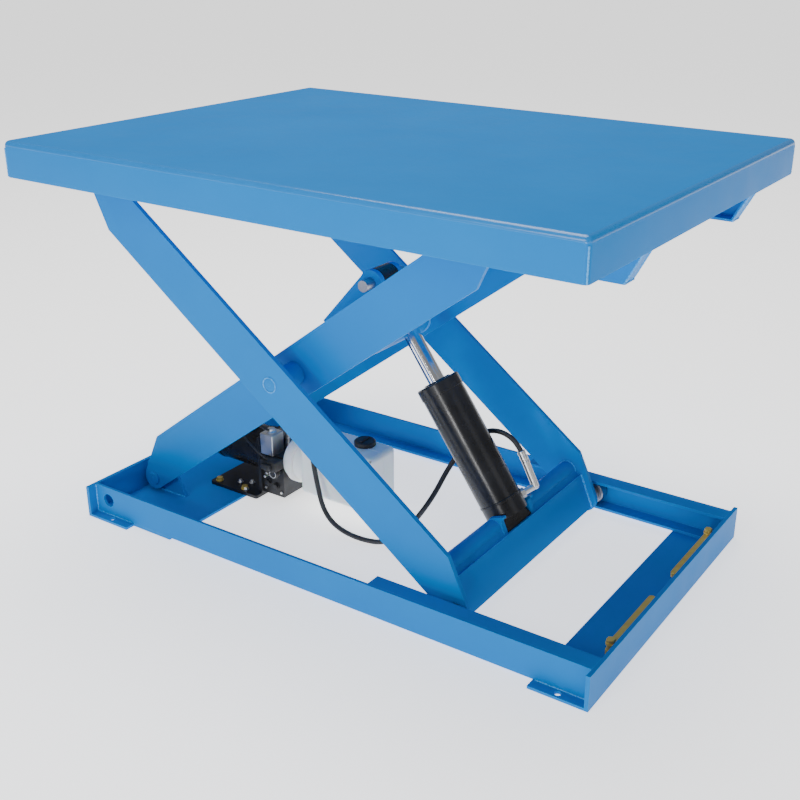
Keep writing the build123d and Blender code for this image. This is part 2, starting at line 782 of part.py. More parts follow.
def make_valves():
    """The solenoid valve on the block, the coil on its front and the knob that lowers the deck."""
    valve_place = (-331, -59)
    valve_size = (36, 40, 2)
    valve_height = 50
    top_chamfer = 2
    nut_radius = 7
    nut_height = 8
    with BuildPart() as valve:
        with BuildSketch(Plane.XY.offset(BLOCK_TOP)):
            with Locations(valve_place):
                RectangleRounded(*valve_size)
        extrude(amount=valve_height)
        chamfer(valve.faces().sort_by(Axis.Z)[-1].edges(), top_chamfer)
        with BuildSketch(Plane.XY.offset(BLOCK_TOP + valve_height)):
            with Locations(valve_place):
                Circle(nut_radius)
        extrude(amount=nut_height)
    save(valve, "solenoid_valve")

    coil_place = (-310, 101)
    coil_length = 32
    with BuildPart() as coil:
        for radius, start, length in ((13, 0, coil_length), (8, coil_length, 5)):
            with BuildSketch(side_plane(BLOCK_FRONT - start)):
                with Locations(coil_place):
                    Circle(radius)
            extrude(amount=length)
    save(coil, "solenoid_coil")

    stem_depth = 16
    head_start = 6
    with BuildPart() as knob:
        for radius, start, end in ((KNOB_STEM, -stem_depth, head_start), (6.5, head_start, 20)):
            with BuildSketch(side_plane(BLOCK_FRONT - start)):
                with Locations((KNOB_X, KNOB_Z)):
                    Circle(radius)
            extrude(amount=end - start)
    save(knob, "lowering_knob")


def make_pump():
    """The gear pump behind the valve block, inside the tank, with its suction pipe."""
    body_radius = 28
    body_length = 55
    pipe_drop = -12
    pipe_radius = 6
    pipe_length = 120
    with BuildPart() as pump:
        with BuildSketch(unit_plane(BLOCK_END)):
            Circle(body_radius)
        extrude(amount=body_length)
        with BuildSketch(unit_plane(BLOCK_END + body_length)):
            with Locations((0, pipe_drop)):
                Circle(pipe_radius)
        extrude(amount=pipe_length)
    save(pump, "gear_pump")


def make_tank():
    """Blow-moulded oil tank, clamped to the valve block by its round neck, and its filler cap."""
    tank_bottom = 43
    tank_top = 175
    wall = 4
    tank_rounding = 12
    neck_radius = 46
    neck_wall = 5
    neck_length = TANK_START - BLOCK_END + 20
    clamp_radius = 54
    clamp_width = 14
    cap_place = (-104, -12)
    stem_radius = 16
    middle = ((TANK_START + TANK_END) / 2, UNIT_Y, (tank_bottom + tank_top) / 2)
    size = (TANK_END - TANK_START, 2 * (UNIT_Y - BLOCK_FRONT), tank_top - tank_bottom)
    with BuildPart() as tank:
        with Locations(middle):
            Box(*size)
        fillet(tank.edges(), tank_rounding)
        with BuildSketch(unit_plane(BLOCK_END)):
            Circle(neck_radius)
        extrude(amount=neck_length)
        with BuildSketch(unit_plane(BLOCK_END + clamp_width)):
            Circle(clamp_radius)
        extrude(amount=clamp_width)
        with Locations(middle):
            Box(*(side - 2 * wall for side in size), mode=Mode.SUBTRACT)
        with BuildSketch(unit_plane(BLOCK_END)):
            Circle(neck_radius - neck_wall)
        extrude(amount=neck_length, mode=Mode.SUBTRACT)
        with BuildSketch(Plane.XY.offset(tank_top)):
            with Locations(cap_place):
                Circle(stem_radius + RUNNING)
        extrude(amount=-2 * wall, mode=Mode.SUBTRACT)
    save(tank, "oil_tank")

    cap_bottom = tank_top + 0.3
    cap_height = 11
    cap_radius = 23
    cap_chamfer = 2
    stem_bottom = tank_top - 8
    with BuildPart() as cap:
        with BuildSketch(Plane.XY.offset(stem_bottom)):
            with Locations(cap_place):
                Circle(stem_radius)
        extrude(amount=cap_bottom - stem_bottom)
        with BuildSketch(Plane.XY.offset(cap_bottom)):
            with Locations(cap_place):
                Circle(cap_radius)
        extrude(amount=cap_height)
        chamfer(cap.faces().sort_by(Axis.Z)[-1].edges(), cap_chamfer)
    save(cap, "tank_cap")


# ---------------------------------------------------------------- hose

HOSE_ROUTE = [
    (-318, -15, 131),
    (-318, -15, 165),
    (-302, -24, 194),
    (-273, -38, 210),
    (-241, -55, 210),
    (-212, -72, 194),
    (-196, -84, 165),
    (-178, -95, 112),
    (-142, -112, 30),
    (-62, -121, 8),
    (28, -98, 8),
    (88, -50, 100),
    (106, 12, 186),
    (138, 53, 236),
    (171, 60, 255),
    (207, 62, 254),
    (237, 61, 235),
    (252, 61, 206),
]
HOSE_CUTS = {"hose_pump_run": (0, 8), "hose_sag": (8, 11), "hose_arch": (11, 16)}


def corner_radii(route):
    """The arc at each inner point: 0.45 of the shorter run next to it is used up."""
    points = [Vector(*point) for point in route]
    radii = []
    for before, corner, after in zip(points, points[1:], points[2:]):
        turn = radians((corner - before).get_angle(after - corner))
        radii.append(0.45 * min((corner - before).length, (after - corner).length) / tan(turn / 2))
    return radii


def make_hose():
    """The hose in three lengths that meet in the middle of straight runs."""
    radii = corner_radii(HOSE_ROUTE)
    print("hose arc radii", [round(radius, 1) for radius in radii])
    points = [Vector(*point) for point in HOSE_ROUTE]
    last_run = len(points) - 2
    total = 0
    for label, (first, last) in HOSE_CUTS.items():
        start = points[0] if first == 0 else (points[first] + points[first + 1]) / 2
        end = points[-1] if last == last_run else (points[last] + points[last + 1]) / 2
        first_corner = first + 1
        corners = points[first_corner : last + 1]
        with BuildPart() as length:
            with BuildLine() as path:
                FilletPolyline(start, *corners, end, radius=radii[first_corner - 1 : last])
            with BuildSketch(path.line ^ 0):
                Circle(HOSE_DIAMETER / 2)
            sweep()
        run = sum(edge.length for edge in path.edges())
        section = pi * (HOSE_DIAMETER / 2) ** 2
        print(label, "length", round(run), "volume / section", round(length.part.volume / section))
        total += run
        save(length, label)
    print("hose length", round(total))


def make_hose_fittings():
    """The upright fitting on the valve block and the elbow that screws into the barrel."""
    sleeve_radius = 8
    block_nut_radius = 10
    block_nut = 8
    start_x, start_y, start_z = HOSE_ROUTE[0]
    with BuildPart() as pump_fitting:
        with BuildSketch(Plane.XY.offset(BLOCK_TOP)):
            with Locations((start_x, start_y)):
                RegularPolygon(block_nut_radius, 6)
        extrude(amount=block_nut)
        with BuildSketch(Plane.XY.offset(BLOCK_TOP + block_nut)):
            with Locations((start_x, start_y)):
                Circle(sleeve_radius)
        extrude(amount=start_z - BLOCK_TOP - block_nut)
    save(pump_fitting, "pump_fitting")

    elbow_drop = 58
    pipe_radius = 7
    port_nut_radius = 11
    port_nut = 8
    hose_end = Vector(*HOSE_ROUTE[-1])
    last_run = (hose_end - Vector(*HOSE_ROUTE[-2])).normalized()
    elbow = hose_end + last_run * elbow_drop
    lower_pin = cylinder_plane(0)
    port = lower_pin.origin + lower_pin.z_dir * (elbow - lower_pin.origin).dot(lower_pin.z_dir)
    outwards = elbow - port
    with BuildPart() as fitting:
        with BuildSketch(Plane(origin=hose_end, z_dir=last_run)):
            Circle(sleeve_radius)
        extrude(amount=elbow_drop)
        with BuildSketch(Plane(origin=port, z_dir=outwards)):
            Circle(pipe_radius)
        extrude(amount=outwards.length)
        with BuildSketch(Plane(origin=port, z_dir=outwards)):
            RegularPolygon(port_nut_radius, 6)
        extrude(amount=BARREL_RADIUS + port_nut)
        with Locations(elbow):
            Sphere(sleeve_radius)
        with BuildSketch(cylinder_plane(0)):
            Circle(BARREL_RADIUS)
        extrude(amount=BARREL_END, mode=Mode.SUBTRACT)
    save(fitting, "barrel_fitting")


os.makedirs("parts", exist_ok=True)
make_floor_plates()
make_end_plates()
make_rails()
make_roller_guides()
make_base_brackets()
make_legs()
make_leg_pins()
make_rollers()
make_inner_leg_weldment()
make_outer_leg_weldment()
make_cylinder()
make_deck()
make_upper_tracks()
make_deck_brackets()
make_maintenance_bars()
make_bracket()
make_motor()
make_valve_block()
make_valves()
make_pump()
make_tank()
make_hose()
make_hose_fittings()
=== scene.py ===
"""Looks of the raised scissor lift table: materials, bent deck sheet, weld beads, hose and fittings."""

import json
import random
from math import cos, pi, radians, sin

import bmesh
import bpy
from mathutils import Matrix, Vector


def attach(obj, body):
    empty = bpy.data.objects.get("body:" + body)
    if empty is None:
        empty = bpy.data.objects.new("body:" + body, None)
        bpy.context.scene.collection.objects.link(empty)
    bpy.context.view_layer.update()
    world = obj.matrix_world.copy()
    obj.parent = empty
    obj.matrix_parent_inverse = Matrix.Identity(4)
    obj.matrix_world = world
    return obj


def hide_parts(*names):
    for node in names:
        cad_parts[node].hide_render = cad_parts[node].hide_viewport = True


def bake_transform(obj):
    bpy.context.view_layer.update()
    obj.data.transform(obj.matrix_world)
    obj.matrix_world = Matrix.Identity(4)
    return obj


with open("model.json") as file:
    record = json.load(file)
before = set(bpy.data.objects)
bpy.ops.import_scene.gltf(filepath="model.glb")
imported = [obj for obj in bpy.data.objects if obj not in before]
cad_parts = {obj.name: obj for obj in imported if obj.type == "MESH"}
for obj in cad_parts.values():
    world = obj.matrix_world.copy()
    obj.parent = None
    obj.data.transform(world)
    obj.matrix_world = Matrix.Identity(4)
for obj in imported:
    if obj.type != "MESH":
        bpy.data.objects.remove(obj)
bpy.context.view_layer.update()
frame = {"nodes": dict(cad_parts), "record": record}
nodes = frame["nodes"]
MM = 0.001
chance = random.Random(7)


# ---------------------------------------------------------------- camera and light

def make_camera():
    """The view from the near right, a little above the deck."""
    azimuth = radians(33.136)
    elevation = radians(22.933)
    roll = radians(0.519)
    place = (1.24844, -1.82613, 1.23789)
    back = Vector((sin(azimuth) * cos(elevation), -cos(azimuth) * cos(elevation), sin(elevation)))
    right = Vector((cos(azimuth), sin(azimuth), 0))
    up = back.cross(right)
    tilted_right = right * cos(roll) + up * sin(roll)
    tilted_up = up * cos(roll) - right * sin(roll)
    data = bpy.data.cameras.new("camera")
    data.sensor_width = 36
    data.lens = 51.42
    data.shift_x = -0.0375
    data.clip_end = 50
    camera = bpy.data.objects.new("camera", data)
    turn = Matrix((tilted_right, tilted_up, back)).transposed()
    camera.matrix_world = Matrix.Translation(place) @ turn.to_4x4()
    bpy.context.scene.collection.objects.link(camera)
    bpy.context.scene.camera = camera


def make_area_light(name, place, aim, size, power):
    """A soft square light that faces a point."""
    data = bpy.data.lights.new(name, "AREA")
    data.size = size
    data.energy = power
    lamp = bpy.data.objects.new(name, data)
    direction = Vector(aim) - Vector(place)
    lamp.location = place
    lamp.rotation_mode = "QUATERNION"
    lamp.rotation_quaternion = direction.to_track_quat("-Z", "Y")
    bpy.context.scene.collection.objects.link(lamp)


def make_studio():
    """Pale floor and surroundings with large soft lights."""
    world = bpy.data.worlds.new("studio")
    world.use_nodes = True
    background = world.node_tree.nodes["Background"]
    background.inputs["Color"].default_value = (1, 1, 1, 1)
    background.inputs["Strength"].default_value = 0.25
    bpy.context.scene.world = world
    middle = (0, 0, 0.4)
    make_area_light("key", (-0.2, -3.9, 2.4), middle, 1.3, 45)
    make_area_light("front", (0.95, -3.5, 0.55), middle, 0.4, 26)
    make_area_light("right", (4.2, -0.6, 1.8), middle, 2.0, 10)
    make_area_light("top", (-0.6, 0.4, 4.2), middle, 2.6, 150)
    bm = bmesh.new()
    bmesh.ops.create_grid(bm, x_segments=1, y_segments=1, size=30)
    floor = new_object("studio_floor", bm, [floor_material()])
    floor.location.z = -0.5 * MM


# ---------------------------------------------------------------- materials

class Shader:
    """A small helper round one material's node tree."""

    def __init__(self, name, color, roughness, metallic=0.0):
        self.material = bpy.data.materials.new(name)
        self.material.use_nodes = True
        self.tree = self.material.node_tree
        self.surface = self.tree.nodes["Principled BSDF"]
        self.surface.inputs["Base Color"].default_value = (*color, 1)
        self.surface.inputs["Roughness"].default_value = roughness
        self.surface.inputs["Metallic"].default_value = metallic
        self.place = self.tree.nodes.new("ShaderNodeTexCoord").outputs["Object"]

    def link(self, output, target):
        """Joins two sockets."""
        self.tree.links.new(output, target)

    def drive(self, output, name):
        """Joins a value or colour to one of the surface's own inputs."""
        self.link(output, self.surface.inputs[name])

    def noise(self, scale, detail=2.0, stretch=None, distortion=0.0):
        """Noise in object space, optionally stretched along an axis."""
        place = self.place
        if stretch:
            mapping = self.tree.nodes.new("ShaderNodeMapping")
            mapping.inputs["Scale"].default_value = stretch
            self.link(place, mapping.inputs["Vector"])
            place = mapping.outputs["Vector"]
        node = self.tree.nodes.new("ShaderNodeTexNoise")
        node.inputs["Scale"].default_value = scale
        node.inputs["Detail"].default_value = detail
        node.inputs["Distortion"].default_value = distortion
        self.link(place, node.inputs["Vector"])
        return node.outputs["Fac"]

    def spread(self, value, low, high, start=0.3, end=0.7):
        """A value mapped from one range to another."""
        node = self.tree.nodes.new("ShaderNodeMapRange")
        node.inputs["From Min"].default_value = start
        node.inputs["From Max"].default_value = end
        node.inputs["To Min"].default_value = low
        node.inputs["To Max"].default_value = high
        self.link(value, node.inputs["Value"])
        return node.outputs["Result"]

    def mix(self, factor, first, second):
        """Two colours mixed by a factor; a colour may be a socket."""
        node = self.tree.nodes.new("ShaderNodeMix")
        node.data_type = "RGBA"
        self.link(factor, node.inputs["Factor"])
        for socket, color in ((node.inputs[6], first), (node.inputs[7], second)):
            if isinstance(color, tuple):
                socket.default_value = (*color, 1)
            else:
                self.link(color, socket)
        return node.outputs[2]

    def combine(self, operation, first, second):
        """Two values added or multiplied."""
        node = self.tree.nodes.new("ShaderNodeMath")
        node.operation = operation
        self.link(first, node.inputs[0])
        self.link(second, node.inputs[1])
        return node.outputs[0]

    def clouds(self, scale, detail, first, second):
        """A colour that drifts between two, in soft clouds."""
        return self.mix(self.spread(self.noise(scale, detail), 0.0, 1.0), first, second)

    def vary_roughness(self, scale, detail, low, high):
        """A gloss that isn't quite even."""
        self.drive(self.spread(self.noise(scale, detail), low, high), "Roughness")

    def edges(self, radius, low, high):
        """Where the surface turns: about 1 along edges and in corners, and 0 on flat stretches."""
        bevel = self.tree.nodes.new("ShaderNodeBevel")
        bevel.samples = 4
        bevel.inputs["Radius"].default_value = radius
        geometry = self.tree.nodes.new("ShaderNodeNewGeometry")
        dot = self.tree.nodes.new("ShaderNodeVectorMath")
        dot.operation = "DOT_PRODUCT"
        self.link(bevel.outputs["Normal"], dot.inputs[0])
        self.link(geometry.outputs["Normal"], dot.inputs[1])
        return self.spread(dot.outputs["Value"], 1.0, 0.0, low, high)

    def bump(self, height, strength, distance):
        """A relief from a height, on the surface's normal."""
        node = self.tree.nodes.new("ShaderNodeBump")
        node.inputs["Strength"].default_value = strength
        node.inputs["Distance"].default_value = distance
        self.link(height, node.inputs["Height"])
        self.link(node.outputs["Normal"], self.surface.inputs["Normal"])
        return node

    def round_edges(self, radius, height, strength, distance):
        """Small rounded edges in shading, with a relief on top."""
        bevel = self.tree.nodes.new("ShaderNodeBevel")
        bevel.samples = 6
        bevel.inputs["Radius"].default_value = radius
        relief = self.bump(height, strength, distance)
        self.link(bevel.outputs["Normal"], relief.inputs["Normal"])


def floor_material():
    """A pale floor that gives off some light itself, so that it stays pale under soft lights."""
    shader = Shader("studio_floor", (0.93, 0.93, 0.93), 0.9)
    shader.drive(shader.clouds(3, 3, (0.925, 0.925, 0.925), (0.94, 0.94, 0.94)), "Base Color")
    shader.surface.inputs["Emission Color"].default_value = (1, 1, 1, 1)
    shader.surface.inputs["Emission Strength"].default_value = 1.3
    return shader.material


def paint_material(name, roughness, gloss):
    """Bright blue powder coat: slight orange peel, soft mottling, and paler edges that are part wear and
    part painted highlight.
    """
    shader = Shader(name, (0.0, 0.19, 0.58), roughness)
    base = shader.clouds(5, 4, (0.0, 0.19, 0.56), (0.0, 0.205, 0.59))
    dust = shader.spread(shader.noise(42, 5, distortion=0.6), 0.0, 0.07, 0.52, 0.8)
    base = shader.mix(dust, base, (0.0, 0.23, 0.66))
    # Paler blue along the edges, broken up by scuff noise: partly worn paint, partly a painted highlight for
    # the light the edges catch.
    scuffs = shader.spread(shader.noise(60, 4), 0.12, 0.5, 0.4, 0.75)
    paler_edges = shader.combine("MULTIPLY", shader.edges(0.0022, 0.86, 0.998), scuffs)
    shader.drive(shader.mix(paler_edges, base, (0.10, 0.50, 0.92)), "Base Color")
    shader.vary_roughness(14, 4, roughness - 0.04, roughness + 0.04)
    shader.surface.inputs["Specular IOR Level"].default_value = gloss
    waves = shader.spread(shader.noise(120, 2), 0.0, 0.6)
    shader.round_edges(0.0009, shader.combine("ADD", shader.noise(650, 2), waves), 0.06, 0.0006)
    return shader.material


def black_paint_material(name, roughness, speck):
    """Black enamel over turned or cast metal."""
    shader = Shader(name, (0.012, 0.012, 0.013), roughness)
    base = shader.clouds(18, 4, (0.010, 0.010, 0.011), (0.022, 0.022, 0.024))
    scuffs = shader.spread(shader.noise(90, 4), 0.0, 0.5, 0.5, 0.75)
    paler_edges = shader.combine("MULTIPLY", shader.edges(0.0015, 0.88, 0.998), scuffs)
    shader.drive(shader.mix(paler_edges, base, (0.12, 0.12, 0.125)), "Base Color")
    shader.vary_roughness(30, 4, roughness - 0.05, roughness + 0.08)
    shader.surface.inputs["Specular IOR Level"].default_value = 0.3
    shader.surface.inputs["Coat Weight"].default_value = 0.12
    shader.surface.inputs["Coat Roughness"].default_value = 0.18
    shader.round_edges(0.0008, shader.noise(speck, 3), 0.12, 0.0006)
    return shader.material


def plastic_material():
    """Moulded black plastic with a fine grain."""
    shader = Shader("black_plastic", (0.015, 0.015, 0.015), 0.5)
    shader.drive(shader.clouds(25, 3, (0.012, 0.012, 0.012), (0.028, 0.028, 0.028)), "Base Color")
    shader.vary_roughness(80, 3, 0.42, 0.58)
    shader.round_edges(0.0008, shader.noise(900, 2), 0.15, 0.0004)
    return shader.material


def tank_material():
    """Milky blow-moulded plastic that lets some light through."""
    shader = Shader("white_tank", (0.95, 0.95, 0.94), 0.42)
    shader.drive(shader.clouds(9, 3, (0.93, 0.93, 0.92), (0.97, 0.97, 0.95)), "Base Color")
    shader.vary_roughness(40, 3, 0.36, 0.5)
    shader.surface.inputs["Subsurface Weight"].default_value = 0.35
    shader.surface.inputs["Subsurface Scale"].default_value = 0.012
    shader.round_edges(0.0015, shader.noise(260, 3), 0.10, 0.0006)
    return shader.material


def metal_material(name, color, darker, roughness, streak):
    """Machined or plated steel with fine streaks and a slightly uneven tone."""
    shader = Shader(name, color, roughness, 1.0)
    shader.drive(shader.clouds(35, 4, color, darker), "Base Color")
    lines = shader.noise(160, 3, streak)
    shader.drive(shader.spread(lines, roughness - 0.06, roughness + 0.1), "Roughness")
    shader.round_edges(0.0006, lines, 0.08, 0.0004)
    return shader.material


def zinc_material():
    """Yellow zinc plate: gold with faint pink and green bloom."""
    shader = Shader("zinc_plate", (0.80, 0.58, 0.16), 0.36, 0.55)
    bloom = shader.spread(shader.noise(55, 3, distortion=1.2), 0.0, 1.0)
    tint = shader.mix(bloom, (0.84, 0.62, 0.14), (0.74, 0.50, 0.12))
    green = shader.spread(shader.noise(95, 2, distortion=0.8), 0.0, 0.4, 0.5, 0.8)
    shader.drive(shader.mix(green, tint, (0.70, 0.62, 0.16)), "Base Color")
    shader.vary_roughness(70, 3, 0.28, 0.46)
    shader.round_edges(0.0006, shader.noise(500, 2), 0.08, 0.0004)
    return shader.material


def chrome_material():
    """Hard chrome with a ground finish that is hardly seen."""
    shader = Shader("chrome_rod", (0.86, 0.87, 0.9), 0.08, 1.0)
    shader.vary_roughness(900, 2, 0.05, 0.12)
    shader.drive(shader.clouds(30, 2, (0.84, 0.85, 0.88), (0.9, 0.91, 0.93)), "Base Color")
    return shader.material


def rubber_material():
    """Hose cover with a fine, uneven grain."""
    shader = Shader("hose_rubber", (0.02, 0.02, 0.021), 0.55)
    shader.drive(shader.clouds(60, 3, (0.016, 0.016, 0.017), (0.035, 0.035, 0.037)), "Base Color")
    shader.vary_roughness(150, 3, 0.45, 0.62)
    shader.bump(shader.noise(1400, 2), 0.2, 0.0004)
    return shader.material


def weld_material():
    """Painted weld bead: a paler blue that is painted highlight, lighter still on the ripple crests, with a
    rippled, glossier skin.
    """
    shader = Shader("blue_weld", (0.01, 0.3, 0.75), 0.22)
    ripple = shader.noise(220, 3)
    painted_crest_highlight = shader.spread(ripple, 0.0, 1.0)
    # Both blues are paler than the paint: a painted highlight for the light the bead catches, strongest on
    # the ripple crests.
    shader.drive(shader.mix(painted_crest_highlight, (0.005, 0.25, 0.70), (0.05, 0.42, 0.88)), "Base Color")
    shader.drive(shader.spread(ripple, 0.2, 0.36), "Roughness")
    shader.bump(ripple, 0.35, 0.0012)
    return shader.material


METALS = {
    "piston_iron": ((0.34, 0.33, 0.32), (0.26, 0.26, 0.26), 0.4, (1, 1, 6)),
    "pump_alloy": ((0.62, 0.62, 0.62), (0.5, 0.5, 0.5), 0.45, (3, 1, 1)),
    "rotor_steel": ((0.4, 0.36, 0.33), (0.3, 0.27, 0.25), 0.45, (8, 1, 1)),
    "roller_steel": ((0.42, 0.43, 0.45), (0.3, 0.31, 0.33), 0.32, (1, 8, 1)),
    "pin_steel": ((0.5, 0.5, 0.51), (0.38, 0.38, 0.4), 0.35, (1, 6, 1)),
    "zinc_silver": ((0.76, 0.76, 0.74), (0.70, 0.70, 0.68), 0.34, (1, 1, 5)),
}
MATERIALS = {
    "blue_paint": paint_material("blue_paint", 0.4, 0.07),
    "black_paint": black_paint_material("black_paint", 0.26, 420),
    "black_block": black_paint_material("black_block", 0.42, 700),
    "black_plastic": plastic_material(),
    "white_tank": tank_material(),
    "chrome_rod": chrome_material(),
    "zinc_plate": zinc_material(),
    "hose_rubber": rubber_material(),
    **{name: metal_material(name, *looks) for name, looks in METALS.items()},
}
WELD = weld_material()
BEND = paint_material("blue_bend", 0.24, 0.6)


def dress_nodes():
    """Gives each CAD node the material of its slot in the record."""
    for part in frame["record"]["subparts"]:
        mesh = nodes[part["node"]].data
        mesh.materials.clear()
        mesh.materials.append(MATERIALS[part["material_slot"]])


# ---------------------------------------------------------------- mesh helpers

def new_object(name, bm, materials, smooth=None):
    """An object from a bmesh; smooth is the angle under which faces shade smoothly."""
    mesh = bpy.data.meshes.new(name)
    bm.normal_update()
    bm.to_mesh(mesh)
    bm.free()
    for material in materials:
        mesh.materials.append(material)
    made = bpy.data.objects.new(name, mesh)
    bpy.context.scene.collection.objects.link(made)
    if smooth:
        for polygon in mesh.polygons:
            polygon.use_smooth = True
        mesh.set_sharp_from_angle(angle=radians(smooth))
    return made


def add_piece(name, bm, slot, body, smooth=40, material=None):
    """A finished piece that rides on a body and takes its finish from a slot."""
    made = new_object(name, bm, [material or MATERIALS[slot]], smooth)
    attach(made, body)
    return made


# ---------------------------------------------------------------- measures shared with the frame

DECK_HALF = Vector((609.6, 457.2)) * MM
DECK_TOP = 844.5 * MM
SKIRT_BOTTOM = 775.5 * MM
LEG_SLOPE = radians(36.876)
CENTRE = Vector((-137.2, 0, 396.05)) * MM
HINGE_X = -572.9 * MM
ROLLER_X = 298.5 * MM
LOWER_Z = 39.5 * MM
UPPER_Z = 752.6 * MM
SIDES = (-1, 1)
ALONG_X = Vector((1, 0, 0))
ALONG_Y = Vector((0, 1, 0))
ALONG_Z = Vector((0, 0, 1))


def on_leg(hand, along, across, y):
    """A point given in millimetres along and across a leg's bar, and its Y."""
    turn = LEG_SLOPE * hand
    x = along * cos(turn) - across * sin(turn)
    z = along * sin(turn) + across * cos(turn)
    return CENTRE + Vector((x, y, z)) * MM


LOWER_PIN = on_leg(-1, 504.7, -5.5, 0)
UPPER_PIN = on_leg(1, 155.3, 83.4, 0)
STROKE = (UPPER_PIN - LOWER_PIN).normalized()


# ---------------------------------------------------------------- mesh builders

def cross_axes(direction):
    """Two unit vectors square to a direction and to each other."""
    helper = ALONG_Z if abs(direction.z) < 0.9 else ALONG_X
    first = direction.cross(helper).normalized()
    return first, direction.cross(first).normalized()


def circle_points(origin, axis, radius, count=48):
    """A ring of points round an axis."""
    first, second = cross_axes(axis)
    turns = [2 * pi * k / count for k in range(count)]
    return [origin + (first * cos(t) + second * sin(t)) * radius for t in turns]


def add_ring(bm, points):
    """New vertices at some points."""
    return [bm.verts.new(point) for point in points]


def join_rings(bm, rings, closed=False):
    """Faces between rings of the same number of vertices."""
    count = len(rings[0])
    pairs = list(zip(rings, rings[1:]))
    if closed:
        pairs.append((rings[-1], rings[0]))
    for low, high in pairs:
        for i in range(count):
            j = (i + 1) % count
            bm.faces.new((low[i], low[j], high[j], high[i]))


def cap_rings(bm, rings):
    """Flat faces over the first and the last of some rings."""
    bm.faces.new(reversed(rings[0]))
    bm.faces.new(rings[-1])


def add_tube(bm, points, radius, sides=12, closed=False):
    """A round tube along points; radius is a number or a function of the point's index."""
    count = len(points)
    first = None
    rings = []
    for i, point in enumerate(points):
        before = points[i - 1] if i or closed else points[0]
        after = points[(i + 1) % count] if i + 1 < count or closed else points[-1]
        tangent = (after - before).normalized()
        if first is None:
            first, _ = cross_axes(tangent)
        first = (first - tangent * first.dot(tangent)).normalized()
        second = tangent.cross(first)
        size = radius(i) if callable(radius) else radius
        turns = [2 * pi * k / sides for k in range(sides)]
        rings.append(add_ring(bm, [point + (first * cos(t) + second * sin(t)) * size for t in turns]))
    join_rings(bm, rings, closed)
    if not closed:
        cap_rings(bm, rings)


def add_lathe(bm, origin, axis, profile, sides=40):
    """A turned shape: profile lists (distance along the axis, radius) in millimetres."""
    rings = []
    for distance, radius in profile:
        middle = origin + axis * distance * MM
        rings.append(add_ring(bm, circle_points(middle, axis, radius * MM, sides)))
    join_rings(bm, rings)
    cap_rings(bm, rings)


def add_hex(bm, origin, axis, radius, height, washer=0.0):
    """A hexagon head with a chamfered top, on a thin washer if its radius is given."""
    base = origin
    if washer:
        chamfer = 0.4
        thickness = 1.8
        rim = [(chamfer, washer), (thickness - chamfer, washer)]
        profile = [(0, washer - chamfer), *rim, (thickness, washer - chamfer)]
        add_lathe(bm, base, axis, profile, 28)
        base = base + axis * thickness * MM
    rings = []
    for level, scale in ((0, 0.97), (0.5, 1.0), (height - 1.2, 1.0), (height, 0.86)):
        middle = base + axis * level * MM
        rings.append(add_ring(bm, circle_points(middle, axis, radius * scale * MM, 6)))
    join_rings(bm, rings)
    cap_rings(bm, rings)


def add_block(bm, low, high, rounding):
    """A box with rounded edges, from its two corners in millimetres."""
    middle = (Vector(low) + Vector(high)) / 2 * MM
    size = (Vector(high) - Vector(low)) * MM
    place = Matrix.Translation(middle) @ Matrix.Diagonal((*size, 1))
    made = bmesh.ops.create_cube(bm, size=1, matrix=place)
    edges = list({edge for vert in made["verts"] for edge in vert.link_edges})
    bmesh.ops.bevel(bm, geom=edges, offset=rounding * MM, segments=3, profile=0.5, affect="EDGES")


def even_points(points, spacing):
    """Points placed every so often along a line."""
    out = [points[0]]
    for start, end in zip(points, points[1:]):
        pieces = max(1, round((end - start).length / spacing))
        out += [start.lerp(end, (k + 1) / pieces) for k in range(pieces)]
    return out


# ---------------------------------------------------------------- deck sheet

def rounded_outline(half, radius, steps=5):
    """The corners of a rectangle rounded in plan, as points in the XY plane."""
    points = []
    for x_side, y_side, start in ((1, 1, 0), (-1, 1, 90), (-1, -1, 180), (1, -1, 270)):
        for k in range(steps + 1):
            turn = radians(start + 90 * k / steps)
            x = x_side * (half.x - radius) + radius * cos(turn)
            y = y_side * (half.y - radius) + radius * sin(turn)
            points.append(Vector((x, y, 0)))
    return points


def make_deck_sheet():
    """The deck and its skirt as one sheet bent round its top edges."""
    bend = 10 * MM
    inner_bend = 4 * MM
    corner = 9 * MM
    tightest_corner = 2 * MM
    wall = 5 * MM
    steps = 8
    outside = [(0.0, SKIRT_BOTTOM)]
    for k in range(steps + 1):
        turn = radians(90 * k / steps)
        outside.append((bend * (1 - cos(turn)), DECK_TOP - bend + bend * sin(turn)))
    ceiling = DECK_TOP - wall
    inside = [(wall, SKIRT_BOTTOM), (wall, ceiling - inner_bend), (wall + inner_bend, ceiling)]
    bm = bmesh.new()
    sides = []
    for profile in (outside, inside):
        rings = []
        for inset, z in profile:
            half = Vector((DECK_HALF.x - inset, DECK_HALF.y - inset))
            outline = rounded_outline(half, max(corner - inset * 0.8, tightest_corner))
            rings.append(add_ring(bm, [point + ALONG_Z * z for point in outline]))
        join_rings(bm, rings)
        sides.append(rings)
    for face in bm.faces:
        height = face.calc_center_median().z
        if DECK_TOP - bend < height < DECK_TOP - 0.4 * MM:
            face.material_index = 1
    bm.faces.new(sides[0][-1])
    bm.faces.new(sides[1][-1])
    join_rings(bm, [sides[0][0], sides[1][0]])
    bmesh.ops.recalc_face_normals(bm, faces=bm.faces)
    deck = add_piece("deck_sheet", bm, "blue_paint", "platform", 35)
    deck.data.materials.append(BEND)
    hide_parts("deck_plate", "skirt_near", "skirt_far", "skirt_left", "skirt_right")


# ---------------------------------------------------------------- weld beads

RIPPLE_SPACING = 2.2 * MM


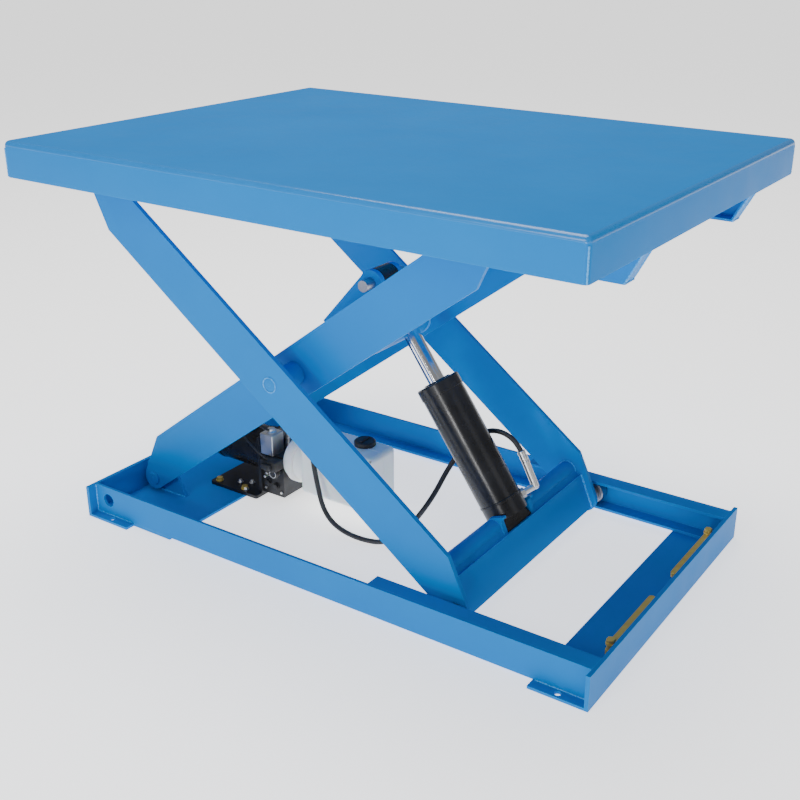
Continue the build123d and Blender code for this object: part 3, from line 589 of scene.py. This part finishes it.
def make_weld(name, lines, radius, body, closed=False):
    """Rippled fillet beads along lines of points, given in metres."""
    bm = bmesh.new()
    for line in lines:
        points = even_points(line + line[:1] if closed else line, RIPPLE_SPACING)
        if closed:
            points = points[:-1]
        sizes = []
        for i in range(len(points)):
            sizes.append(radius * (1 + 0.10 * sin(i * 1.9) + 0.09 * chance.uniform(-1, 1)))
        add_tube(bm, points, sizes.__getitem__, 8, closed)
    add_piece(name, bm, "blue_paint", body, 50, WELD)


def make_welds():
    """Every bead that shows, and their twins on the other side."""
    make_deck_welds()
    make_track_welds()
    make_leg_welds()
    make_base_welds()


def make_deck_welds():
    """The seams up the corners of the deck's skirt."""
    inset = 2.3 * MM
    low = SKIRT_BOTTOM + 1 * MM
    high = DECK_TOP - 14 * MM
    posts = []
    for x_side in SIDES:
        for y_side in SIDES:
            x = x_side * (DECK_HALF.x - inset)
            y = y_side * (DECK_HALF.y - inset)
            posts.append([Vector((x, y, low)), Vector((x, y, high))])
    make_weld("deck_corner_welds", posts, 1.6 * MM, "platform")


def make_track_welds():
    """Beads round the sloped end plates of the upper tracks."""
    slope = ((576, 721.5), (604, 774.5))
    foot_x = 577.5
    foot_z = 722
    inner = 222.5
    middle = 240
    outer = 255.5
    rims = []
    for side in SIDES:
        for y in (inner, outer):
            rims.append([Vector((x, side * y, z)) * MM for x, z in slope])
        rims.append([Vector((foot_x, side * y, foot_z)) * MM for y in (inner, middle, outer)])
    make_weld("track_end_welds", rims, 1.8 * MM, "platform")


def make_leg_welds():
    """Beads on the cross plate's ends, and round the tubes and centre pins."""
    plate_end = 264.2
    plate = []
    for side in SIDES:
        y = side * plate_end
        plate.append([on_leg(-1, 517.6, 17, y), on_leg(-1, 586, -23, y)])
        plate.append([on_leg(-1, 512, 8.5, y), on_leg(-1, 582, -31, y)])
    make_weld("cross_plate_welds", plate, 3.0 * MM, "outer_legs")
    rings = [circle_points(on_leg(-1, 488, -2, side * 264), ALONG_Y, 20.5 * MM) for side in SIDES]
    rings += [circle_points(CENTRE + ALONG_Y * side * 275.2 * MM, ALONG_Y, 15.2 * MM) for side in SIDES]
    make_weld("outer_leg_ring_welds", rings, 1.6 * MM, "outer_legs", closed=True)
    rings = [circle_points(on_leg(1, 38, -5, side * 187.2), ALONG_Y, 35.7 * MM) for side in SIDES]
    make_weld("inner_leg_ring_welds", rings, 2.8 * MM, "inner_legs", closed=True)


def make_base_welds():
    """Beads in the base's corners, along the rails' ends and on the gussets' feet."""
    end_x = 606.8
    rail_y = 337.6
    floor_z = 6.6
    seams = []
    for x_side in SIDES:
        for side in SIDES:
            x = x_side * end_x
            seams.append([Vector((x, side * rail_y, z)) * MM for z in (7.5, 71.5)])
            steps = [x - x_side * inward for inward in (1, 50, 105)]
            seams.append([Vector((step, side * (rail_y - 0.4), floor_z)) * MM for step in steps])
    gusset_inner = 174.3
    gusset_outer = 183.7
    for side in SIDES:
        for y in (gusset_inner, gusset_outer):
            seams.append([Vector((x, side * y, floor_z)) * MM for x in (-604, -550, -492)])
        seams.append([Vector((-606.2, side * gusset_inner, z)) * MM for z in (8, 30, 66)])
    make_weld("base_welds", seams, 2.0 * MM, "base")


# ---------------------------------------------------------------- hose

HOSE_ROUTE = (
    (-318, -15, 131), (-318, -15, 165), (-302, -24, 194), (-273, -38, 210), (-241, -55, 210),
    (-212, -72, 194), (-196, -84, 165), (-178, -95, 112), (-142, -112, 30), (-62, -121, 8),
    (28, -98, 8), (88, -50, 100), (106, 12, 186), (138, 53, 236), (171, 60, 255),
    (207, 62, 254), (237, 61, 235), (252, 61, 206),
)
HOSE_DIAMETER = 11 * MM


def hose_line():
    """The points of a NURBS curve through the hose's route."""
    data = bpy.data.curves.new("hose_line", "CURVE")
    data.dimensions = "3D"
    data.resolution_u = 16
    spline = data.splines.new("NURBS")
    spline.points.add(len(HOSE_ROUTE) - 1)
    for point, place in zip(spline.points, HOSE_ROUTE):
        point.co = (*(Vector(place) * MM), 1)
    spline.order_u = 3
    spline.use_endpoint_u = True
    holder = bpy.data.objects.new("hose_line", data)
    bpy.context.scene.collection.objects.link(holder)
    mesh = bpy.data.meshes.new_from_object(holder.evaluated_get(bpy.context.evaluated_depsgraph_get()))
    points = [vertex.co.copy() for vertex in mesh.vertices]
    bpy.data.objects.remove(holder)
    bpy.data.meshes.remove(mesh)
    return points


def make_hose_tube(name, run, gone):
    """A length of the hose as a plain tube, in place of its CAD solids."""
    bm = bmesh.new()
    add_tube(bm, run, HOSE_DIAMETER / 2, 20)
    hose = new_object(name, bm, [MATERIALS["hose_rubber"]], 60)
    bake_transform(hose)
    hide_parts(*gone)


def make_crimp(name, place, axis, body):
    """A ribbed sleeve over the hose's end."""
    sleeve = [(-7, 8.1), (-6.4, 8.7), (-3, 8.7), (-2.4, 8.2)]
    sleeve += [(2, 8.2), (2.6, 8.7), (9, 8.7), (9.6, 8.2)]
    sleeve += [(13, 8.2), (13.6, 8.7), (20, 8.7), (21, 7.6), (21.4, 5.6)]
    bm = bmesh.new()
    add_lathe(bm, place, axis, sleeve, 36)
    add_piece(name, bm, "zinc_silver", body, 35)


def make_hose():
    """The hose in two tubes that meet in its sag: the first runs from the pump, the second to the barrel.
    """
    points = hose_line()
    meeting = Vector((58, -74, 54)) * MM
    cut = min(range(len(points)), key=lambda i: (points[i] - meeting).length)
    make_hose_tube(
        "hose_from_pump", points[: cut + 1],
        ("hose_pump_run", "hose_sag"),
    )
    make_hose_tube(
        "hose_to_barrel", points[cut:],
        ("hose_arch",),
    )
    make_crimp("pump_crimp", points[0], ALONG_Z, "base")
    make_crimp("barrel_crimp", points[-1], (points[-8] - points[-1]).normalized(), "barrel")


# ---------------------------------------------------------------- cylinder, rollers and pins

def make_cylinder_details():
    """The barrel's foot ring, gland nut and rod wiper."""
    foot = LOWER_PIN + STROKE * 56 * MM
    top = LOWER_PIN + STROKE * 330 * MM
    gland_nut = [(-24, 44), (-23, 46.5), (-1, 46.5), (1.5, 44.5)]
    wiper = [(1.7, 30), (4, 27), (4.2, 18)]
    bm = bmesh.new()
    add_lathe(bm, foot, STROKE, [(-3, 44), (-2, 46.2), (2, 46.6), (3.2, 45.4), (3.8, 44)], 72)
    add_lathe(bm, top, STROKE, gland_nut + wiper, 72)
    add_piece("barrel_rings", bm, "black_paint", "barrel", 35)


def make_roller_details():
    """The turned faces of the four rollers."""
    width = 24 * MM
    face = [(-0.2, 24), (0.25, 23.6), (0.35, 17.5), (-0.1, 17), (-0.2, 12.4)]
    for level, z, inner in (("lower", LOWER_Z, 303 * MM), ("upper", UPPER_Z, 226 * MM)):
        for name, side in zip(("near", "far"), SIDES):
            bm = bmesh.new()
            outward = ALONG_Y * side
            for place, facing in ((inner, -1), (inner + width, 1)):
                spot = Vector((ROLLER_X, side * place, z))
                add_lathe(bm, spot, outward * facing, face, 40)
            add_piece(f"{level}_roller_{name}_faces", bm, "roller_steel", f"{level}_roller_{name}", 35)


def make_pin_details():
    """Domed caps on the pins that show."""
    profile = [(-0.2, 13.4), (0.6, 13), (0.9, 12), (0.9, 3.2), (1.6, 2.6), (1.8, 1.0)]
    hinge = Vector((HINGE_X, 0, LOWER_Z))
    for name, middle, reach, body in (
        ("centre_pin_caps", CENTRE, 275 * MM, "outer_legs"),
        ("base_pin_caps", hinge, 201.4 * MM, "base"),
    ):
        bm = bmesh.new()
        for side in SIDES:
            outward = ALONG_Y * side
            add_lathe(bm, middle + outward * reach, outward, profile, 36)
        add_piece(name, bm, "blue_paint", body, 35)


# ---------------------------------------------------------------- power unit

UNIT = Vector((0, -25, 102)) * MM  # a point on the motor's axis


def smooth_line(points, steps=8):
    """A Catmull-Rom line through points."""
    padded = [points[0] * 2 - points[1], *points, points[-1] * 2 - points[-2]]
    out = []
    for a, b, c, d in zip(padded, padded[1:], padded[2:], padded[3:]):
        square = a * 2 - b * 5 + c * 4 - d
        cube = b * 3 - a - c * 3 + d
        for k in range(steps):
            t = k / steps
            out.append((b * 2 + (c - a) * t + square * t**2 + cube * t**3) * 0.5)
    return out + [points[-1]]


def make_motor_details():
    """The motor's end cover, flange, screws, terminal box and the box's two wires."""
    end_cover = [(-0.4, 30), (-0.4, 44), (3.6, 50.3), (7, 50.7), (8, 51.2), (16, 51.2), (17, 50.2)]
    flange = [(0, 50.2), (1, 52.5), (12, 52.5), (13, 50.2)]
    start = UNIT + ALONG_X * -500 * MM
    bm = bmesh.new()
    add_lathe(bm, start, ALONG_X, end_cover, 64)
    add_lathe(bm, UNIT + ALONG_X * -372 * MM, ALONG_X, flange, 64)
    add_block(bm, (-470, -52, 146), (-408, -6, 176), 3)
    add_piece("motor_covers", bm, "black_paint", "base", 35)

    bolt_circle = 38 * MM
    bm = bmesh.new()
    for turn in (40, 140, 220, 320):
        outward = Vector((0, cos(radians(turn)), sin(radians(turn))))
        add_hex(bm, start + outward * bolt_circle - ALONG_X * 0.1 * MM, -ALONG_X, 4.6, 4)
    for x, y in ((-462, -44), (-462, -14), (-416, -44), (-416, -14)):
        add_hex(bm, Vector((x, y, 175.8)) * MM, ALONG_Z, 2.6, 2)
    for x, y in ((-428, -66), (-403, -54), (-392, -88)):
        add_hex(bm, Vector((x, y, 14)) * MM, ALONG_Z, 5, 5, 7)
    add_piece("motor_screws", bm, "zinc_silver", "base", 35)

    to_valve = ((-430, -52, 160), (-412, -74, 186), (-372, -84, 192), (-338, -76, 178), (-331, -66, 172))
    to_coil = ((-440, -52, 154), (-418, -80, 162), (-372, -98, 150), (-332, -100, 126), (-312, -92, 112))
    bm = bmesh.new()
    for route in (to_valve, to_coil):
        add_tube(bm, smooth_line([Vector(point) * MM for point in route]), 2.2 * MM, 10)
    add_piece("unit_wires", bm, "black_plastic", "base", 60)


def make_block_details():
    """Cartridges, plugs, screws and the ringed knob on the valve block's front."""
    front = -ALONG_Y
    bm = bmesh.new()
    for x, z in ((-343, 28), (-297, 26), (-343, 104)):
        add_hex(bm, Vector((x, -72, z)) * MM, front, 3.4, 3)
    cartridge = [(0, 5), (1, 5.4), (3, 5.4), (3.4, 3), (22, 3), (23, 2.2)]
    for x, z in ((-322, 78), (-328, 68)):
        add_lathe(bm, Vector((x, -71, z)) * MM, front, cartridge, 24)
        add_hex(bm, Vector((x, -75, z)) * MM, front, 5.6, 4)
    for x, y in ((-340, -30), (-340, 8), (-300, 8)):
        add_hex(bm, Vector((x, y, 116)) * MM, ALONG_Z, 5.4, 6, 7.5)
    add_piece("block_screws", bm, "zinc_silver", "base", 35)

    bm = bmesh.new()
    for x, z in ((-334, 44), (-312, 40)):
        add_hex(bm, Vector((x, -72, z)) * MM, front, 7, 5, 9)
    add_piece("block_plugs", bm, "black_block", "base", 35)

    bm = bmesh.new()
    knob = Vector((-302, -90, 81)) * MM
    skirt = [(-8, 6.4), (-7.6, 10.8), (-3, 11.6), (-2.6, 10.2)]
    grip = [(-1, 10.2), (-0.6, 11.8), (4, 11.6), (5, 10.4), (5.4, 6), (4.6, 5.4)]
    add_lathe(bm, knob, front, skirt + grip, 40)
    add_piece("knob_grip", bm, "black_plastic", "lowering_knob", 35)
    bm = bmesh.new()
    ring = circle_points(knob + front * 4.6 * MM, front, 8.6 * MM, 40)
    add_tube(bm, ring, 0.9 * MM, 8, closed=True)
    add_piece("knob_ring", bm, "zinc_silver", "lowering_knob", 60)

    bm = bmesh.new()
    add_block(bm, (-332, -102, 90), (-288, -73, 114), 3)
    add_block(bm, (-322, -112, 96), (-298, -101, 110), 2)
    add_piece("coil_case", bm, "black_plastic", "base", 35)
    nut = [(0, 11), (1, 12), (3, 12), (4, 10.5), (5, 8.6), (9, 8.4), (10, 6)]
    bm = bmesh.new()
    add_lathe(bm, Vector((-331, -59, 165)) * MM, ALONG_Z, nut, 36)
    add_piece("valve_nut", bm, "zinc_silver", "base", 35)


def make_tank_details():
    """Moulding seam and neck clamp of the tank."""
    low_x = -242
    high_x = -45
    low_z = 43
    high_z = 175
    rounding = 12
    outline = []
    for x, z, start in (
        (high_x - rounding, high_z - rounding, 0),
        (low_x + rounding, high_z - rounding, 90),
        (low_x + rounding, low_z + rounding, 180),
        (high_x - rounding, low_z + rounding, 270),
    ):
        for turn in range(start, start + 91, 15):
            across = Vector((cos(radians(turn)), 0, sin(radians(turn)))) * rounding
            outline.append((Vector((x, -25, z)) + across) * MM)
    bm = bmesh.new()
    add_tube(bm, outline, 0.9 * MM, 6, closed=True)
    add_piece("tank_seam", bm, "white_tank", "base", 60)

    neck = UNIT - ALONG_X * 290 * MM
    bm = bmesh.new()
    add_lathe(bm, neck, ALONG_X, [(3, 46), (3.4, 47.2), (12.6, 47.2), (13, 46)], 64)
    add_piece("neck_clamp", bm, "white_tank", "base", 35)


def make_cap_details():
    """The filler cap's ribbed rim and the bar across its top."""
    cap = Vector((-104, -12, 176))
    facets = 96
    rib = 0.55
    rings = []
    bm = bmesh.new()
    for level, radius, ribbed in ((0, 22.6, False), (0.6, 23.2, True), (8.6, 23.2, True), (10.8, 21, False)):
        ring = []
        for k in range(facets):
            turn = 2 * pi * k / facets
            reach = radius + (rib if ribbed and k % 4 in (0, 1) else 0)
            ring.append((cap + Vector((reach * cos(turn), reach * sin(turn), level))) * MM)
        rings.append(add_ring(bm, ring))
    join_rings(bm, rings)
    cap_rings(bm, rings)
    add_block(bm, (-107, -28, 186), (-101, 4, 190), 1.4)
    add_piece("cap_grip", bm, "black_plastic", "tank_cap", 30)


def make_bar_details():
    """Bolt heads and stacked washers on the two maintenance bars' studs."""
    bm = bmesh.new()
    for y in (-216, 265):
        spot = Vector((587, y, 46.3)) * MM
        add_lathe(bm, spot, ALONG_Z, [(0, 9), (0.3, 9.8), (1.8, 9.8), (2.1, 9)], 32)
        add_hex(bm, spot + ALONG_Z * 2.2 * MM, ALONG_Z, 8.4, 8)
    add_piece("bar_bolt_heads", bm, "zinc_plate", "base", 35)


ROUNDED_NODES = (
    "p_leg_near", "p_leg_far", "q_leg_near", "q_leg_far", "p_cross_plate", "q_ears",
    "base_end_right", "base_end_left", "base_rail_near", "base_rail_far",
    "upper_track_near", "upper_track_far", "maintenance_bar_near", "maintenance_bar_far",
    "unit_bracket", "valve_block",
)


def round_node_edges():
    """A real small rounding on the flat plates' edges, so that they catch the light."""
    for node in ROUNDED_NODES:
        modifier = nodes[node].modifiers.new("edge", "BEVEL")
        modifier.width = 1.1 * MM
        modifier.segments = 2
        modifier.limit_method = "ANGLE"
        modifier.angle_limit = radians(50)


make_camera()
make_studio()
dress_nodes()
make_deck_sheet()
make_welds()
make_hose()
make_cylinder_details()
make_roller_details()
make_pin_details()
make_motor_details()
make_block_details()
make_tank_details()
make_cap_details()
make_bar_details()
round_node_edges()
